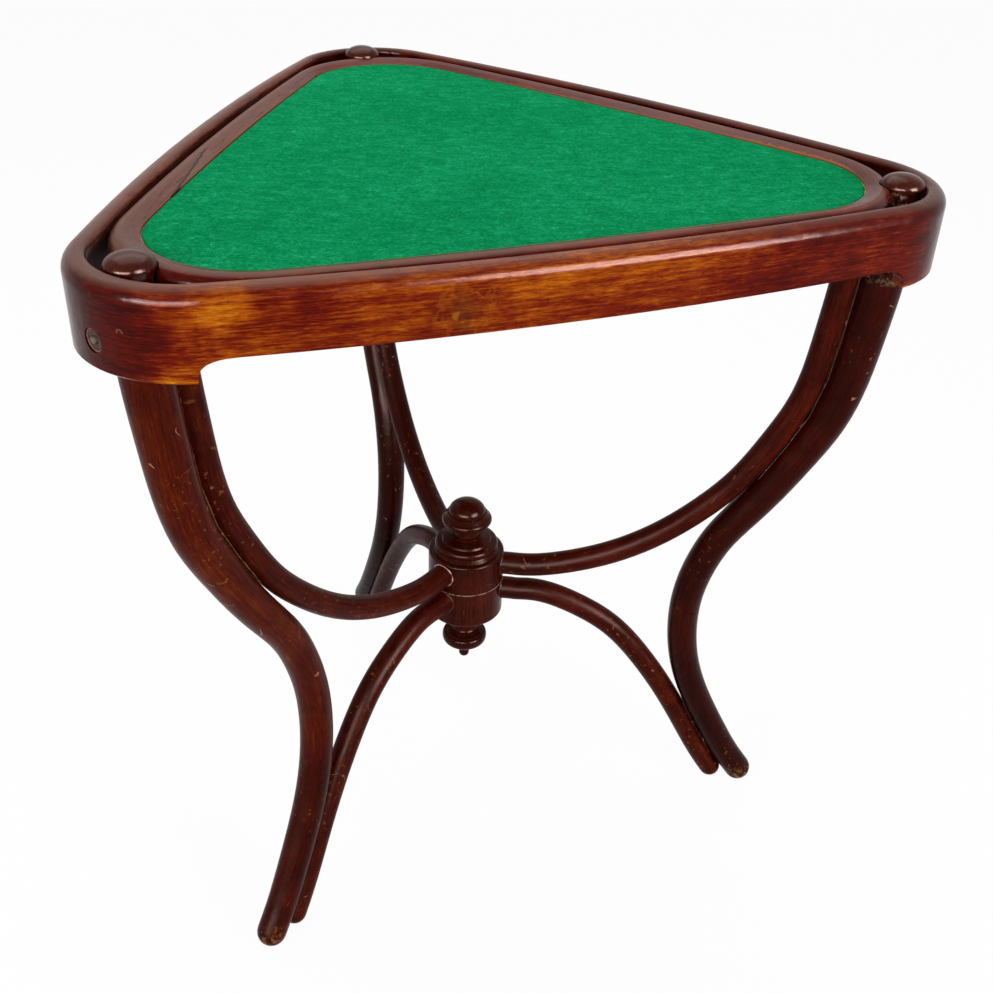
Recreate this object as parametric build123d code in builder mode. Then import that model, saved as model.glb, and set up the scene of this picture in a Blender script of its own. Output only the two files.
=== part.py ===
from build123d import *
from math import asin, cos, degrees, radians, sin, sqrt, tan
import os

# Bentwood card table: three legs, a deep outer hoop and a loose felted top, +Z up, floor at zero.

# Angles of the three corners
corner_count = 3
full_angle = 360.0
quarter_angle = full_angle / 4
corner_angle = full_angle / corner_count

# Outer hoop
corner_reach = 410.0
corner_radius = 91.0
side_bow = 15.5
hoop_thickness = 18.0
hoop_rise = 28.0
hoop_depth = 50.0
hoop_outer_round = 12.5
hoop_inner_round = 4.5
hoop_arris = 1.5

# Deep ears of the hoop over the leg heads
ear_drop = 18.5
ear_width = 63.0
ear_sweep = 28.0
ear_rise = 4.0
ear_nose = 2.5
cut_margin = 20.0

# Leg rods, measured in their own plane from the hub axis
head_height = 712.0
leg_head_radius = 20.0
housing_depth = 2.0
housing_clearance = 0.15
leg_reach_shares = (
    1.001, 0.998, 0.992, 0.981, 0.966, 0.935, 0.886, 0.829, 0.771, 0.713,
    0.675, 0.653, 0.646, 0.655, 0.680, 0.722, 0.777, 0.829, 0.886,
)
leg_height_shares = (
    1.020, 0.948, 0.892, 0.829, 0.765, 0.702, 0.646, 0.590, 0.541, 0.492,
    0.442, 0.393, 0.337, 0.281, 0.225, 0.169, 0.112, 0.063, 0.019,
)
leg_girth_shares = (1.0, 1.0, 0.98, 0.95, 0.89, 0.85, 0.83, 0.815, 0.80, 0.775, 0.75)
leg_section_count = 31
foot_round_share = 0.995
leg_swing_angle = 2.83
leg_pivot_drop = 5.0

# Arm rods that run beside the legs and bend in to the hub
arm_radius = 12.3
rod_gap = 0.4
upper_contact_shares = (0.0, 0.06, 0.12, 0.18, 0.24, 0.30, 0.345, 0.385)
upper_reach_shares = (0.916, 0.792, 0.648, 0.486, 0.306, 0.129)
upper_height_shares = (0.788, 0.568, 0.370, 0.207, 0.086, 0.013)
lower_contact_shares = (0.862, 0.905, 0.945, 0.978)
lower_reach_shares = (0.148, 0.362, 0.558, 0.718, 0.855)
lower_height_shares = (0.0, 0.087, 0.238, 0.453, 0.694)
arm_section_count = 25
arm_straight = 9.2
socket_depth = 15.8
socket_clearance = 0.15

# Turned hub, stacked outward from the split between its halves
hub_height = 270.0
upper_arm_cover = 8.2
lower_arm_cover = 1.2
hub_top_wall = 3.2
hub_bottom_wall = 17.2
hub_arris = 3.0
hub_top_ledge = 5.8
shoulder_rise = 3.5
shoulder_ledge = 1.2
bead_width = 7.5
bead_swell = 1.8
bead_ledge = 8.3
tier_rise = 3.0
tier_slope = 1.2
tier_ledge = 10.0
boss_slope_rise = 2.5
boss_rise = 2.5
boss_ledge = 1.9

# Finial above the hub
neck_wall = 5.7
neck_flare = 2.0
neck_flare_rise = 6.0
neck_length = 8.5
collar_radius = 26.6
collar_swell = 2.6
collar_width = 8.0
tier_ring_radius = 21.2
tier_ring_rise = 3.0
tier_ring_width = 2.0
ball_radius = 19.8
ball_height = 14.0

# Pendant below the hub
pendant_head_radius = 18.0
pendant_neck_radius = 12.0
pendant_neck_drop = 19.0
pendant_neck_length = 10.0
pendant_ring_radius = 17.0
pendant_ring_width = 2.0
pendant_step_radius = 21.4
pendant_step_drop = 1.2
pendant_step_width = 2.2
pendant_radius = 24.8
pendant_disc_drop = 6.1
pendant_base_radius = 14.0
pendant_base_drop = 8.5

# Spindle through the turned pieces
spindle_radius = 5.8
spindle_tail = 23.0
spindle_cover = 2.5
spindle_clearance = 0.1

# Corner knobs on the leg heads
knob_inset = 1.5
knob_gap = 0.5
head_overhang = 2.5
stem_height = 20.5
head_flare = 5.0
dome_height = 10.5
knob_dowel_radius = 6.0
knob_dowel_length = 12.0
dowel_clearance = 0.1
round_handle_share = 0.552

# Loose top
rim_gap = 4.0
rim_corner_gap = 26.0
rim_fullness = 35.0
rim_height = 26.0
rim_round = 10.5
rim_slope_width = 12.5
rim_slope_drop = 3.4
seat_clearance = 0.1
knob_clearance = 0.7
notch_wall = 4.3
felt_radius_step = 23.0
felt_bow = 5.9
groove_depth = 6.0
board_thickness = 15.0
board_clearance = 0.1
felt_thickness = 1.5

# Ledges inside the hoop that carry the top
ledge_width = 20.0
ledge_height = 16.0
ledge_half_length = 150.0

# Corner bolts through hoop, leg and arm
bolt_rise = 22.5
bolt_radius = 3.0
bolt_clearance = 0.1
flange_radius = 9.2
flange_thickness = 1.6
button_radius = 3.6
button_height = 1.8
button_angle = 25.0
nut_radius = 6.5
nut_sides = 6
nut_thickness = 5.0
washer_margin = 1.0
washer_thickness = 1.2
spot_depth = 2.0
bolt_tail = 2.5
halving_count = 24

# Dowels between arm and leg
pin_radius = 3.0
pin_half_length = 9.0
pin_clearance = 0.1
upper_pin_shares = (0.16, 0.32)
lower_pin_share = 0.925

# Ledge screws
screw_radius = 2.0
screw_head_radius = 4.0
screw_head_depth = 2.5
screw_sink = 0.3
screw_cover = 6.0
screw_inset = 40.0
screw_clearance = 0.1

# Hoop and ears, from the values above
side_reach = (corner_reach + corner_radius) / 2 + side_bow
axis_y = (side_reach - corner_reach) / 2
hoop_top = head_height + hoop_rise
side_bottom = hoop_top - hoop_depth
ear_bottom = side_bottom - ear_drop
sweep_bottom = ear_bottom + ear_rise
ear_half = corner_reach * sin(radians(corner_angle / 2)) - ear_width
inner_reach = corner_reach - hoop_thickness
inner_radius = corner_radius - hoop_thickness
inner_side = side_reach - hoop_thickness
back_angle = quarter_angle
front_left_angle = back_angle + corner_angle
right_angle = front_left_angle + corner_angle
corner_angles = {"back": back_angle, "front_left": front_left_angle, "right": right_angle}
side_angles = {
    "back_left": back_angle + corner_angle / 2,
    "front": front_left_angle + corner_angle / 2,
    "back_right": back_angle - corner_angle / 2,
}

# Legs, with the lean that brings their swung heads back to the corners
head_reach = inner_reach + housing_depth - leg_head_radius
leg_pivot_height = hub_height - leg_pivot_drop
head_rise = head_height - leg_pivot_height
leg_lean_angle = degrees(asin(head_reach * tan(radians(leg_swing_angle)) / head_rise))

# Turned pieces, radii outward from the spindle and heights from the split
bore_radius = spindle_radius + spindle_clearance
neck_radius = bore_radius + neck_wall
neck_foot_radius = neck_radius + neck_flare
boss_radius = neck_foot_radius + boss_ledge
tier_radius = boss_radius + tier_ledge
bead_radius = tier_radius + bead_ledge
shoulder_radius = bead_radius + shoulder_ledge
hub_radius = shoulder_radius + hub_top_ledge
upper_arm_height = hub_height + upper_arm_cover + arm_radius
lower_arm_height = hub_height - lower_arm_cover - arm_radius
hub_top = upper_arm_height + arm_radius + hub_top_wall
hub_bottom = lower_arm_height - arm_radius - hub_bottom_wall
arm_entry = hub_radius + arm_straight
socket_reach = hub_radius - socket_depth
bead_bottom = hub_top + shoulder_rise
bead_top = bead_bottom + bead_width
tier_height = bead_top + tier_rise
boss_height = tier_height + boss_slope_rise
boss_top = boss_height + boss_rise
neck_height = boss_top + neck_flare_rise
collar_bottom = neck_height + neck_length
collar_top = collar_bottom + collar_width
tier_ring_bottom = collar_top + tier_ring_rise
ball_base = tier_ring_bottom + tier_ring_width
pendant_neck_height = hub_bottom - pendant_neck_drop
pendant_ring_top = pendant_neck_height - pendant_neck_length
pendant_ring_bottom = pendant_ring_top - pendant_ring_width
pendant_step_top = pendant_ring_bottom - pendant_step_drop
pendant_step_bottom = pendant_step_top - pendant_step_width
pendant_height = pendant_step_bottom - pendant_disc_drop
pendant_bottom = pendant_height - pendant_base_drop
spindle_tip = pendant_bottom - spindle_tail
spindle_top = ball_base - spindle_cover

# Knobs between hoop and top
knob_reach = head_reach - knob_inset
head_radius = inner_reach - knob_gap - knob_reach
stem_radius = head_radius - head_overhang
head_base = head_height + stem_height
head_widest = head_base + head_flare

# Loose top, from the hoop outside and the knobs inside
rim_reach = inner_reach - rim_corner_gap
rim_radius = inner_radius + rim_fullness
rim_side = inner_side - rim_gap
notch_radius = head_radius + knob_clearance
felt_reach = knob_reach - notch_radius - notch_wall - groove_depth
felt_radius = rim_radius - felt_radius_step
felt_side = (felt_reach + felt_radius) / 2 + felt_bow
top_bottom = head_height + seat_clearance
board_bottom = top_bottom + (rim_height - board_thickness) / 2
board_top = board_bottom + board_thickness

# Fasteners
ledge_bottom = head_height - ledge_height
ledge_middle = head_height - ledge_height / 2
bolt_height = ear_bottom + bolt_rise
flange_sink = flange_thickness + button_height
washer_radius = nut_radius + washer_margin
screw_length = ledge_width + hoop_thickness - screw_cover
screw_reach = ledge_half_length - screw_inset
screw_places = (-screw_reach, 0, screw_reach)


def direction(angle):
    """Level unit vector at an angle."""
    return Vector(cos(radians(angle)), sin(radians(angle)))


def spoke(angle, length):
    """Flat point at a length and angle."""
    return direction(angle) * length


def ray(angle, length, height=0.0):
    """Point at a length and angle from the hub axis."""
    return spoke(angle, length) + Vector(0, axis_y, height)


def side_centre(reach, radius, side):
    """Distance of a side arc's centre beyond the hub axis."""
    centre_out = reach - radius
    inset = side - radius
    return (centre_out**2 - inset**2) / (2 * inset - centre_out)


def side_depth(reach, radius, side, along):
    """Distance of a side's face from the hub axis at a place along it."""
    beyond = side_centre(reach, radius, side)
    return sqrt((side + beyond) ** 2 - along**2) - beyond


def draw_triangle(reach, radius, side):
    """Rounded triangle with bowed sides."""
    beyond = side_centre(reach, radius, side)
    starts = []
    ends = []
    for corner in corner_angles.values():
        centre = spoke(corner, reach - radius)
        toward = centre + spoke(corner - corner_angle / 2, beyond)
        away = centre + spoke(corner + corner_angle / 2, beyond)
        starts.append(centre + toward.normalized() * radius)
        ends.append(centre + away.normalized() * radius)
    for index, corner in enumerate(corner_angles.values()):
        following = starts[(index + 1) % corner_count]
        ThreePointArc(starts[index], spoke(corner, reach), ends[index])
        ThreePointArc(ends[index], spoke(corner + corner_angle / 2, side), following)


def level(height):
    """Level plane centred on the hub axis."""
    return Plane(origin=(0, axis_y, height))


def side_plane(angle, depth):
    """Upright plane facing out from the axis, its height measured from the floor."""
    along = direction(angle + quarter_angle)
    return Plane(origin=ray(angle, depth), x_dir=along, z_dir=direction(angle))


def leg_plane(corner):
    """Plane of one leg and its arms, swung and leaned a little from the corner."""
    out = direction(corner + leg_swing_angle)
    side = direction(corner + leg_swing_angle - quarter_angle)
    lean = radians(leg_lean_angle)
    up = Vector(0, 0, 1) * cos(lean) + side * sin(lean)
    return Plane(origin=(0, axis_y, leg_pivot_height), x_dir=out, z_dir=out.cross(up))


def leg_axis():
    """Axis of a leg in its own plane."""
    points = []
    for reach_share, height_share in zip(leg_reach_shares, leg_height_shares):
        height = height_share * head_height - leg_pivot_height
        points.append((reach_share * head_reach, height))
    return Spline(*points, mode=Mode.PRIVATE)


def leg_radius(share):
    """Radius of a leg at a share of its length."""
    place = share * (len(leg_girth_shares) - 1)
    index = min(int(place), len(leg_girth_shares) - 2)
    low = leg_girth_shares[index]
    high = leg_girth_shares[index + 1]
    return leg_head_radius * (low + (high - low) * (place - index))


def beside(share, distance):
    """Point beside the leg, on its inner side."""
    axis = leg_axis()
    tangent = axis % share
    inward = Vector(tangent.Y, -tangent.X)
    return axis @ share + inward * distance


def contact_points(shares):
    """Axis points of an arm that lies against the leg."""
    return [beside(share, leg_radius(share) + arm_radius + rod_gap) for share in shares]


def free_points(entry, contact, reach_shares, height_shares):
    """Axis points of an arm's free run between its entry to the hub and the leg."""
    span = contact - entry
    points = []
    for reach_share, height_share in zip(reach_shares, height_shares):
        points.append(entry + Vector(span.X * reach_share, span.Y * height_share))
    return points


def entry_point(height):
    """Point in the leg's plane where an arm goes straight on into the hub."""
    return Vector(arm_entry, height - leg_pivot_height)


def upper_axis():
    """Axis of an upper arm from its head down and in to the hub."""
    points = contact_points(upper_contact_shares)
    entry = entry_point(upper_arm_height)
    points += free_points(entry, points[-1], upper_reach_shares, upper_height_shares)
    points.append(entry)
    start = leg_axis() % 0
    return Spline(*points, tangents=(start, (-1, 0)), mode=Mode.PRIVATE)


def lower_axis():
    """Axis of a lower arm from the foot up and in to the hub."""
    contacts = contact_points(lower_contact_shares)
    entry = entry_point(lower_arm_height)
    free = free_points(entry, contacts[0], lower_reach_shares, lower_height_shares)
    points = contacts[::-1] + free[::-1] + [entry]
    start = leg_axis() % lower_contact_shares[-1]
    return Spline(*points, tangents=(start * -1, (-1, 0)), mode=Mode.PRIVATE)


def rod(plane, axis, radius_at, count, mode=Mode.ADD):
    """Round rod lofted along an axis that lies in the given plane."""
    sections = []
    for index in range(count):
        share = index / (count - 1)
        centre = plane.from_local_coords(axis @ share)
        along = plane.from_local_coords(axis % share) - plane.origin
        with BuildSketch(Plane(origin=centre, x_dir=plane.z_dir, z_dir=along)) as section:
            Circle(radius_at(share))
        sections.append(section.sketch)
    return loft(sections, mode=mode)


def housed_radius(share):
    """Radius of the seat cut for a leg."""
    return leg_radius(share) + housing_clearance


def level_arm(share):
    """Radius of an arm, the same all along."""
    return arm_radius


def entry_plane(plane, height):
    """Plane across an arm where it goes straight on into the hub."""
    centre = plane.from_local_coords(entry_point(height))
    return Plane(origin=centre, x_dir=plane.z_dir, z_dir=plane.x_dir * -1)


def cross_plane(plane, share):
    """Plane across the joint between leg and arm, facing the arm."""
    centre = plane.from_local_coords(beside(share, leg_radius(share) + rod_gap / 2))
    axis_point = plane.from_local_coords(leg_axis() @ share)
    return Plane(origin=centre, x_dir=plane.z_dir, z_dir=centre - axis_point)


def bore_pins(plane, shares):
    """Holes for the dowels between leg and arm."""
    for share in shares:
        with BuildSketch(cross_plane(plane, share)) as hole:
            Circle(pin_radius + pin_clearance)
        extrude(hole.sketch, amount=pin_half_length + pin_clearance, both=True, mode=Mode.SUBTRACT)


def bore_bolt(corner):
    """Hole for the corner bolt."""
    with BuildSketch(side_plane(corner, 0)) as hole:
        with Locations((0, bolt_height)):
            Circle(bolt_radius + bolt_clearance)
    extrude(hole.sketch, amount=corner_reach, mode=Mode.SUBTRACT)


def trim_head():
    """Saw the rod off level at its head."""
    split(bisect_by=Plane.XY.offset(head_height), keep=Keep.BOTTOM)


def trim_foot():
    """Flat under the foot at the floor."""
    split(bisect_by=Plane.XY, keep=Keep.TOP)


def arm_inner_reach(corner):
    """Reach of the upper arm's inner face where the corner bolt crosses it."""
    plane = leg_plane(corner)
    axis = upper_axis()
    low = 0
    high = 1
    for _ in range(halving_count):
        middle = (low + high) / 2
        if plane.from_local_coords(axis @ middle).Z > bolt_height:
            low = middle
        else:
            high = middle
    point = plane.from_local_coords(axis @ low)
    return sqrt(point.X**2 + (point.Y - axis_y) ** 2) - arm_radius


def bore_sockets(height):
    """Blind holes in the hub for the three arms at one height."""
    for corner in corner_angles.values():
        with BuildSketch(entry_plane(leg_plane(corner), height)) as hole:
            Circle(arm_radius + socket_clearance)
        depth = arm_entry - socket_reach + socket_clearance
        extrude(hole.sketch, amount=depth, mode=Mode.SUBTRACT)


def screw_plane(angle, along):
    """Plane at a ledge screw, facing out through the hoop."""
    depth = side_depth(
        inner_reach - ledge_width,
        inner_radius - ledge_width,
        inner_side - ledge_width,
        along,
    )
    across = direction(angle + quarter_angle)
    origin = ray(angle, depth, ledge_middle) + across * along
    return Plane(origin=origin, x_dir=across, z_dir=direction(angle))


def bore_screws(angle):
    """Holes for one ledge's screws."""
    for along in screw_places:
        with BuildSketch(screw_plane(angle, along)) as hole:
            Circle(screw_radius + screw_clearance)
        extrude(hole.sketch, amount=screw_length + screw_clearance, mode=Mode.SUBTRACT)


def turning_plane():
    """Upright plane through the hub axis for turned profiles."""
    return Plane(origin=(0, axis_y, 0), x_dir=(1, 0, 0), z_dir=(0, -1, 0))


hub_axis = Axis((0, axis_y, 0), (0, 0, 1))
nut_reach = arm_inner_reach(right_angle) + spot_depth
os.makedirs("parts", exist_ok=True)


# Outer hoop: one deep bent band with rounded top edges, sawn up between the ears
with BuildPart() as apron_hoop:
    with BuildSketch(level(ear_bottom)):
        with BuildLine():
            draw_triangle(corner_reach, corner_radius, side_reach)
        make_face()
        with BuildLine():
            draw_triangle(inner_reach, inner_radius, inner_side)
        make_face(mode=Mode.SUBTRACT)
    extrude(amount=hoop_top - ear_bottom)
    fillet(apron_hoop.faces().sort_by(Axis.Z)[-1].outer_wire().edges(), radius=hoop_outer_round)
    fillet(apron_hoop.faces().sort_by(Axis.Z)[-1].inner_wires()[0].edges(), radius=hoop_inner_round)
    chamfer(apron_hoop.edges().group_by(Axis.Z)[0], length=hoop_arris)
    for angle in side_angles.values():
        with BuildSketch(side_plane(angle, side_reach / 2)):
            with BuildLine():
                Polyline(
                    (0, ear_bottom - cut_margin),
                    (ear_half + ear_nose, ear_bottom - cut_margin),
                    (ear_half + ear_nose, ear_bottom),
                )
                Bezier(
                    (ear_half + ear_nose, ear_bottom),
                    (ear_half, ear_bottom),
                    (ear_half, ear_bottom + ear_nose),
                )
                Line((ear_half, ear_bottom + ear_nose), (ear_half, sweep_bottom))
                Bezier(
                    (ear_half, sweep_bottom),
                    (ear_half, side_bottom),
                    (ear_half - ear_sweep, side_bottom),
                )
                Line((ear_half - ear_sweep, side_bottom), (0, side_bottom))
                mirror(about=Plane.YZ)
            make_face()
        extrude(amount=side_reach / 2 + cut_margin, mode=Mode.SUBTRACT)
        bore_screws(angle)
    for corner in corner_angles.values():
        seat = rod(leg_plane(corner), leg_axis(), housed_radius, leg_section_count, Mode.PRIVATE)
        seat_top = Plane.XY.offset(head_height + housing_clearance)
        add(split(seat, bisect_by=seat_top, keep=Keep.BOTTOM, mode=Mode.PRIVATE), mode=Mode.SUBTRACT)
        bore_bolt(corner)
        with BuildSketch(side_plane(corner, corner_reach - flange_sink)):
            with Locations((0, bolt_height)):
                Circle(flange_radius + bolt_clearance)
        extrude(amount=flange_sink * 2, mode=Mode.SUBTRACT)
apron_hoop.part.label = "apron_hoop"
export_step(apron_hoop.part, "parts/apron_hoop.step")


# Legs: tapered S-curved rods from the hoop to the floor
for name, corner in corner_angles.items():
    plane = leg_plane(corner)
    with BuildPart() as leg:
        rod(plane, leg_axis(), leg_radius, leg_section_count)
        with Locations(plane.from_local_coords(leg_axis() @ 1)):
            Sphere(leg_radius(1) * foot_round_share)
        trim_head()
        trim_foot()
        with BuildSketch(Plane(origin=ray(corner, knob_reach, head_height))):
            Circle(knob_dowel_radius + dowel_clearance)
        extrude(amount=-knob_dowel_length - dowel_clearance, mode=Mode.SUBTRACT)
        bore_bolt(corner)
        bore_pins(plane, upper_pin_shares)
        bore_pins(plane, (lower_pin_share,))
    leg.part.label = f"leg_{name}"
    export_step(leg.part, f"parts/leg_{name}.step")


# Upper arms: rods from the hoop down the legs and in to the hub's upper half
for name, corner in corner_angles.items():
    plane = leg_plane(corner)
    with BuildPart() as upper_arm:
        rod(plane, upper_axis(), level_arm, arm_section_count)
        with BuildSketch(entry_plane(plane, upper_arm_height)):
            Circle(arm_radius)
        extrude(amount=arm_entry - socket_reach)
        trim_head()
        bore_bolt(corner)
        with BuildSketch(side_plane(corner, nut_reach)):
            with Locations((0, bolt_height)):
                Circle(washer_radius + bolt_clearance)
        extrude(amount=-cut_margin, mode=Mode.SUBTRACT)
        bore_pins(plane, upper_pin_shares)
    upper_arm.part.label = f"upper_arm_{name}"
    export_step(upper_arm.part, f"parts/upper_arm_{name}.step")


# Lower arms: rods from the hub's lower half down beside the feet
for name, corner in corner_angles.items():
    plane = leg_plane(corner)
    with BuildPart() as lower_arm:
        rod(plane, lower_axis(), level_arm, arm_section_count)
        with Locations(plane.from_local_coords(lower_axis() @ 0)):
            Sphere(arm_radius * foot_round_share)
        with BuildSketch(entry_plane(plane, lower_arm_height)):
            Circle(arm_radius)
        extrude(amount=arm_entry - socket_reach)
        trim_foot()
        bore_pins(plane, (lower_pin_share,))
    lower_arm.part.label = f"lower_arm_{name}"
    export_step(lower_arm.part, f"parts/lower_arm_{name}.step")


# Hub's upper half: turned drum with a stepped, beaded shoulder
with BuildPart() as hub_upper:
    with BuildSketch(turning_plane()):
        with BuildLine():
            Polyline(
                (bore_radius, boss_top),
                (bore_radius, hub_height),
                (hub_radius, hub_height),
                (hub_radius, hub_top - hub_arris),
            )
            Bezier(
                (hub_radius, hub_top - hub_arris),
                (hub_radius, hub_top),
                (hub_radius - hub_arris, hub_top),
            )
            Polyline(
                (hub_radius - hub_arris, hub_top),
                (shoulder_radius, hub_top),
                (bead_radius - bead_swell, bead_bottom),
            )
            ThreePointArc(
                (bead_radius - bead_swell, bead_bottom),
                (bead_radius, (bead_bottom + bead_top) / 2),
                (bead_radius - bead_swell, bead_top),
            )
            Polyline(
                (bead_radius - bead_swell, bead_top),
                (tier_radius + tier_slope, bead_top + tier_slope),
                (tier_radius, tier_height),
                (boss_radius, boss_height),
                (boss_radius, boss_top),
                (bore_radius, boss_top),
            )
        make_face()
    revolve(axis=hub_axis)
    bore_sockets(upper_arm_height)
hub_upper.part.label = "hub_upper"
export_step(hub_upper.part, "parts/hub_upper.step")


# Hub's lower half: plain turned drum
with BuildPart() as hub_lower:
    with BuildSketch(turning_plane()):
        with BuildLine():
            Polyline(
                (hub_radius - hub_arris, hub_bottom),
                (bore_radius, hub_bottom),
                (bore_radius, hub_height),
                (hub_radius, hub_height),
                (hub_radius, hub_bottom + hub_arris),
            )
            Bezier(
                (hub_radius, hub_bottom + hub_arris),
                (hub_radius, hub_bottom),
                (hub_radius - hub_arris, hub_bottom),
            )
        make_face()
    revolve(axis=hub_axis)
    bore_sockets(lower_arm_height)
hub_lower.part.label = "hub_lower"
export_step(hub_lower.part, "parts/hub_lower.step")


# Finial: waisted neck, rounded collar, small ring and domed head
with BuildPart() as finial:
    with BuildSketch(turning_plane()):
        with BuildLine():
            Polyline(
                (0, ball_base + ball_height),
                (0, spindle_top + spindle_clearance),
                (bore_radius, spindle_top + spindle_clearance),
                (bore_radius, boss_top),
                (neck_foot_radius, boss_top),
            )
            Bezier(
                (neck_foot_radius, boss_top),
                (neck_radius, neck_height),
                (neck_radius, collar_bottom),
                (collar_radius - collar_swell, collar_bottom),
            )
            ThreePointArc(
                (collar_radius - collar_swell, collar_bottom),
                (collar_radius, (collar_bottom + collar_top) / 2),
                (collar_radius - collar_swell, collar_top),
            )
            Polyline(
                (collar_radius - collar_swell, collar_top),
                (tier_ring_radius, tier_ring_bottom),
                (tier_ring_radius, ball_base),
                (ball_radius, ball_base),
            )
            Bezier(
                (ball_radius, ball_base),
                (ball_radius, ball_base + ball_height * round_handle_share),
                (ball_radius * round_handle_share, ball_base + ball_height),
                (0, ball_base + ball_height),
            )
        make_face()
    revolve(axis=hub_axis)
finial.part.label = "finial"
export_step(finial.part, "parts/finial.step")


# Pendant: turned drop with two rings over a rounded disc
with BuildPart() as pendant:
    with BuildSketch(turning_plane()):
        with BuildLine():
            Polyline(
                (pendant_base_radius, pendant_bottom),
                (bore_radius, pendant_bottom),
                (bore_radius, hub_bottom),
                (pendant_head_radius, hub_bottom),
            )
            Bezier(
                (pendant_head_radius, hub_bottom),
                (pendant_neck_radius, pendant_neck_height),
                (pendant_neck_radius, pendant_ring_top),
                (pendant_ring_radius, pendant_ring_top),
            )
            Polyline(
                (pendant_ring_radius, pendant_ring_top),
                (pendant_ring_radius, pendant_ring_bottom),
                (pendant_step_radius, pendant_step_top),
                (pendant_step_radius, pendant_step_bottom),
            )
            Bezier(
                (pendant_step_radius, pendant_step_bottom),
                (pendant_radius, pendant_step_bottom),
                (pendant_radius, pendant_height),
            )
            Bezier(
                (pendant_radius, pendant_height),
                (pendant_radius, pendant_bottom),
                (pendant_base_radius, pendant_bottom),
            )
        make_face()
    revolve(axis=hub_axis)
pendant.part.label = "pendant"
export_step(pendant.part, "parts/pendant.step")


# Spindle: pin through the turned pieces with its round tip below the pendant
with BuildPart() as hub_spindle:
    with BuildSketch(level(spindle_tip + spindle_radius)):
        Circle(spindle_radius)
    extrude(amount=spindle_top - spindle_tip - spindle_radius)
    with Locations((0, axis_y, spindle_tip + spindle_radius)):
        Sphere(spindle_radius)
hub_spindle.part.label = "hub_spindle"
export_step(hub_spindle.part, "parts/hub_spindle.step")


# Corner knobs: turned mushroom heads on short stems, dowelled into the legs
for name, corner in corner_angles.items():
    centre = ray(corner, knob_reach)
    with BuildPart() as knob:
        with BuildSketch(Plane(origin=centre, x_dir=(1, 0, 0), z_dir=(0, -1, 0))):
            with BuildLine():
                Polyline(
                    (0, head_widest + dome_height),
                    (0, head_height - knob_dowel_length),
                    (knob_dowel_radius, head_height - knob_dowel_length),
                    (knob_dowel_radius, head_height),
                    (stem_radius, head_height),
                    (stem_radius, head_base),
                    (head_radius, head_widest),
                )
                Bezier(
                    (head_radius, head_widest),
                    (head_radius, head_widest + dome_height * round_handle_share),
                    (head_radius * round_handle_share, head_widest + dome_height),
                    (0, head_widest + dome_height),
                )
            make_face()
        revolve(axis=Axis(centre, (0, 0, 1)))
    knob.part.label = f"knob_{name}"
    export_step(knob.part, f"parts/knob_{name}.step")


# Top rim: bent hoop, rounded outside, sloped in to the felt, grooved for the board and notched
with BuildPart() as top_rim:
    with BuildSketch(level(top_bottom)):
        with BuildLine():
            draw_triangle(rim_reach, rim_radius, rim_side)
        make_face()
        with BuildLine():
            draw_triangle(felt_reach, felt_radius, felt_side)
        make_face(mode=Mode.SUBTRACT)
    extrude(amount=rim_height)
    fillet(top_rim.faces().sort_by(Axis.Z)[-1].outer_wire().edges(), radius=rim_round)
    fillet(top_rim.faces().sort_by(Axis.Z)[0].outer_wire().edges(), radius=rim_round)
    for level_face in (top_rim.faces().sort_by(Axis.Z)[-1], top_rim.faces().sort_by(Axis.Z)[0]):
        chamfer(
            level_face.inner_wires()[0].edges(),
            length=rim_slope_width,
            length2=rim_slope_drop,
            reference=level_face,
        )
    with BuildSketch(level(board_bottom - board_clearance)):
        with BuildLine():
            draw_triangle(
                felt_reach + groove_depth,
                felt_radius + groove_depth,
                felt_side + groove_depth,
            )
        make_face()
    extrude(amount=board_thickness + board_clearance * 2, mode=Mode.SUBTRACT)
    for corner in corner_angles.values():
        with BuildSketch(Plane(origin=ray(corner, knob_reach, top_bottom))):
            Circle(notch_radius)
        extrude(amount=rim_height, mode=Mode.SUBTRACT)
top_rim.part.label = "top_rim"
export_step(top_rim.part, "parts/top_rim.step")


# Top board: flat panel let into the rim's groove
with BuildPart() as top_board:
    with BuildSketch(level(board_bottom)):
        with BuildLine():
            draw_triangle(
                felt_reach + groove_depth - board_clearance,
                felt_radius + groove_depth - board_clearance,
                felt_side + groove_depth - board_clearance,
            )
        make_face()
    extrude(amount=board_thickness)
top_board.part.label = "top_board"
export_step(top_board.part, "parts/top_board.step")


# Baize: green cloth glued to the board inside the rim's lip
with BuildPart() as baize:
    with BuildSketch(level(board_top)):
        with BuildLine():
            draw_triangle(
                felt_reach - board_clearance,
                felt_radius - board_clearance,
                felt_side - board_clearance,
            )
        make_face()
    extrude(amount=felt_thickness)
baize.part.label = "baize"
export_step(baize.part, "parts/baize.step")


# Ledges: strips screwed inside the hoop's three sides, carrying the top
for name, angle in side_angles.items():
    with BuildPart() as ledge:
        with BuildSketch(level(ledge_bottom)):
            with BuildLine():
                draw_triangle(inner_reach, inner_radius, inner_side)
            make_face()
            with BuildLine():
                draw_triangle(
                    inner_reach - ledge_width,
                    inner_radius - ledge_width,
                    inner_side - ledge_width,
                )
            make_face(mode=Mode.SUBTRACT)
            with Locations(spoke(angle, side_reach)):
                Rectangle(
                    side_reach,
                    ledge_half_length * 2,
                    rotation=angle,
                    mode=Mode.INTERSECT,
                )
        extrude(amount=ledge_height)
        bore_screws(angle)
        for along in screw_places:
            with BuildSketch(screw_plane(angle, along)):
                Circle(screw_head_radius + screw_clearance)
            extrude(amount=screw_sink + screw_head_depth, mode=Mode.SUBTRACT)
    ledge.part.label = f"ledge_{name}"
    export_step(ledge.part, f"parts/ledge_{name}.step")


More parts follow.
